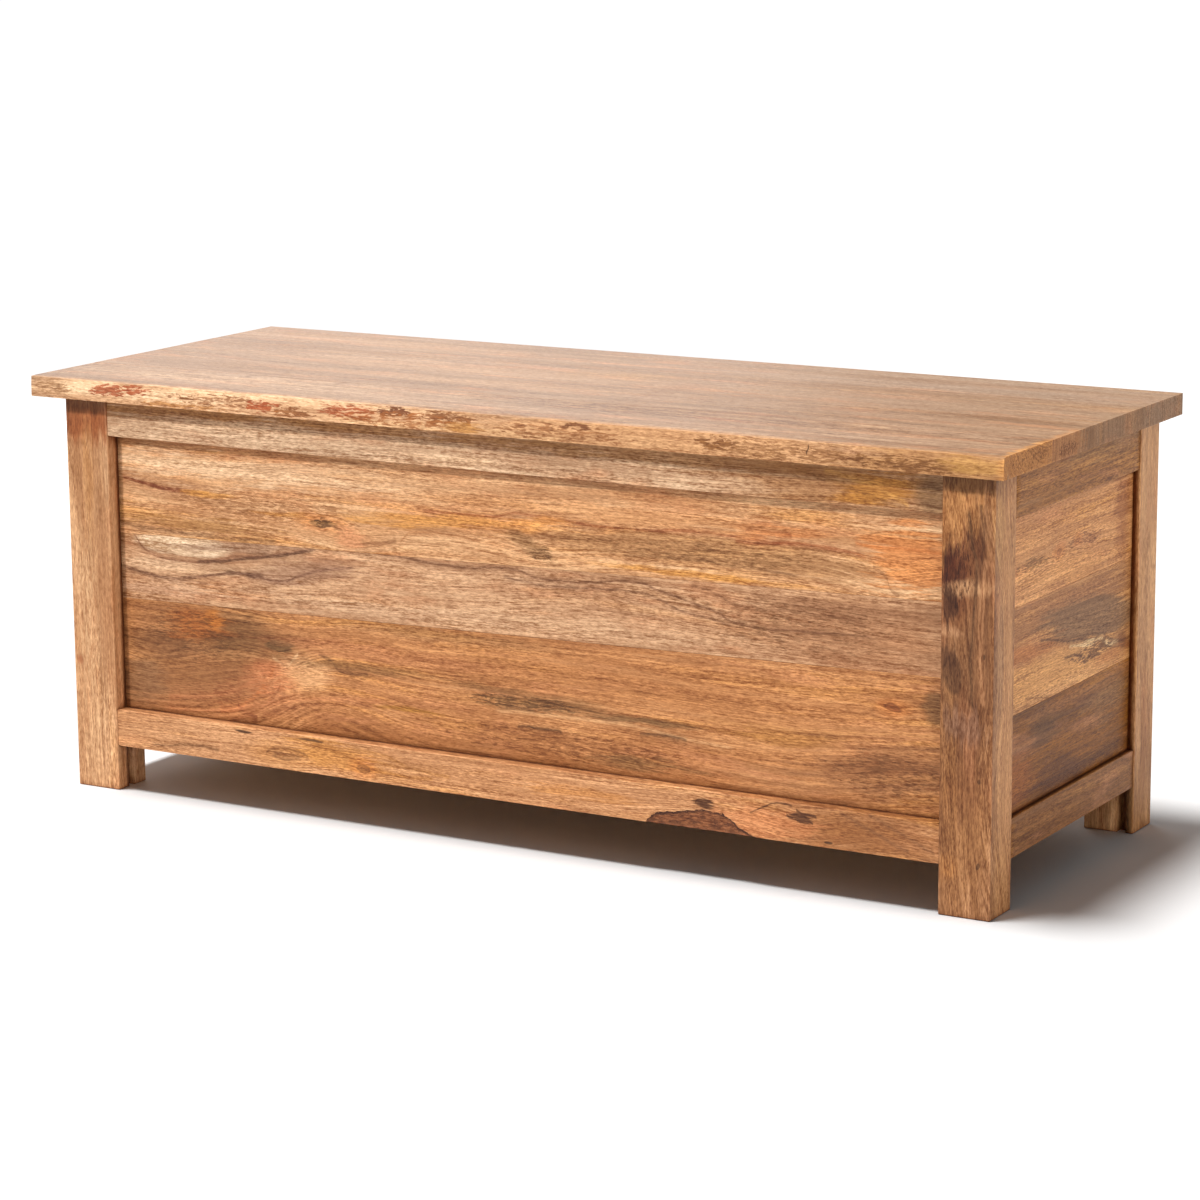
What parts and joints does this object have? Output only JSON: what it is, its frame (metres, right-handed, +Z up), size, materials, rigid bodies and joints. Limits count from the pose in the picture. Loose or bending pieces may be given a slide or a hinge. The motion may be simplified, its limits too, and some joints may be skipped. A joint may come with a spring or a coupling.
{
  "type": "storage bench",
  "caption": "Long low solid-wood storage bench, a frame-and-panel chest whose overhanging board lid lifts on rear butt hinges and slotted stays.",
  "frame": {"origin": "on the floor under the middle of the lid", "axes": "+X along the bench to its right end, -Y towards the front, +Z up; the lid's hinge line is parallel to X at the back"},
  "size_m": [1.12, 0.44, 0.45],
  "materials": {
    "leg_wood": "satin oiled, straight grain with some figure",
    "rail_wood": "satin oiled, greyish tan",
    "panel_wood": "satin oiled, strongly figured",
    "lid_wood": "satin oiled, pale pinkish tan",
    "inner_wood": "sanded, unfinished",
    "brass_fittings": "antique, dull",
    "steel_screws": "zinc plated"
  },
  "bodies": {
    "carcass": {"leg_front_left": "leg_wood", "leg_front_right": "leg_wood", "leg_rear_left": "leg_wood", "leg_rear_right": "leg_wood", "front_top_rail": "rail_wood", "front_bottom_rail": "rail_wood", "rear_top_rail": "rail_wood", "rear_bottom_rail": "rail_wood", "left_top_rail": "rail_wood", "left_bottom_rail": "rail_wood", "right_top_rail": "rail_wood", "right_bottom_rail": "rail_wood", "front_panel_upper_board": "panel_wood", "front_panel_middle_board": "panel_wood", "front_panel_lower_board": "panel_wood", "rear_panel_upper_board": "panel_wood", "rear_panel_middle_board": "panel_wood", "rear_panel_lower_board": "panel_wood", "left_panel_upper_board": "panel_wood", "left_panel_middle_board": "panel_wood", "left_panel_lower_board": "panel_wood", "right_panel_upper_board": "panel_wood", "right_panel_middle_board": "panel_wood", "right_panel_lower_board": "panel_wood", "front_cleat": "inner_wood", "rear_cleat": "inner_wood", "left_cleat": "inner_wood", "right_cleat": "inner_wood", "floor_bearer": "inner_wood", "floor_board_front": "inner_wood", "floor_board_mid_front": "inner_wood", "floor_board_mid_rear": "inner_wood", "floor_board_rear": "inner_wood", "cleat_screws": "steel_screws", "floor_screws": "steel_screws", "left_hinge_box_leaf": "brass_fittings", "left_hinge_pin": "brass_fittings", "right_hinge_box_leaf": "brass_fittings", "right_hinge_pin": "brass_fittings", "left_stay_stud": "brass_fittings", "right_stay_stud": "brass_fittings", "fitting_screws_box": "brass_fittings"},
    "lid": {"lid_board_front": "lid_wood", "lid_board_mid_front": "lid_wood", "lid_board_mid_rear": "lid_wood", "lid_board_rear": "lid_wood", "lid_batten_left": "inner_wood", "lid_batten_middle": "inner_wood", "lid_batten_right": "inner_wood", "batten_screws": "steel_screws", "left_hinge_lid_leaf": "brass_fittings", "right_hinge_lid_leaf": "brass_fittings", "left_stay_bracket": "brass_fittings", "left_stay_rivet": "steel_screws", "right_stay_bracket": "brass_fittings", "right_stay_rivet": "steel_screws", "fitting_screws_lid": "brass_fittings"},
    "left_stay": {"left_stay_arm": "brass_fittings"},
    "right_stay": {"right_stay_arm": "brass_fittings"}
  },
  "joints": [
    {"name": "lid_hinge", "type": "hinge", "parent": "carcass", "child": "lid", "pos_m": [0, 0.214, 0.4245], "axis": [-1, 0, 0], "range_deg": [0, 95]},
    {"name": "left_stay_pivot", "type": "hinge", "parent": "lid", "child": "left_stay", "pos_m": [-0.5, 0.044, 0.418], "axis": [-1, 0, 0], "range_deg": [-47.5, 0]},
    {"name": "right_stay_pivot", "type": "hinge", "parent": "lid", "child": "right_stay", "pos_m": [0.5, 0.044, 0.418], "axis": [-1, 0, 0], "range_deg": [-47.5, 0]}
  ],
  "couplings": [
    {"joint": "left_stay_pivot", "follows": "lid_hinge", "ratio": -0.5},
    {"joint": "right_stay_pivot", "follows": "lid_hinge", "ratio": -0.5}
  ]
}
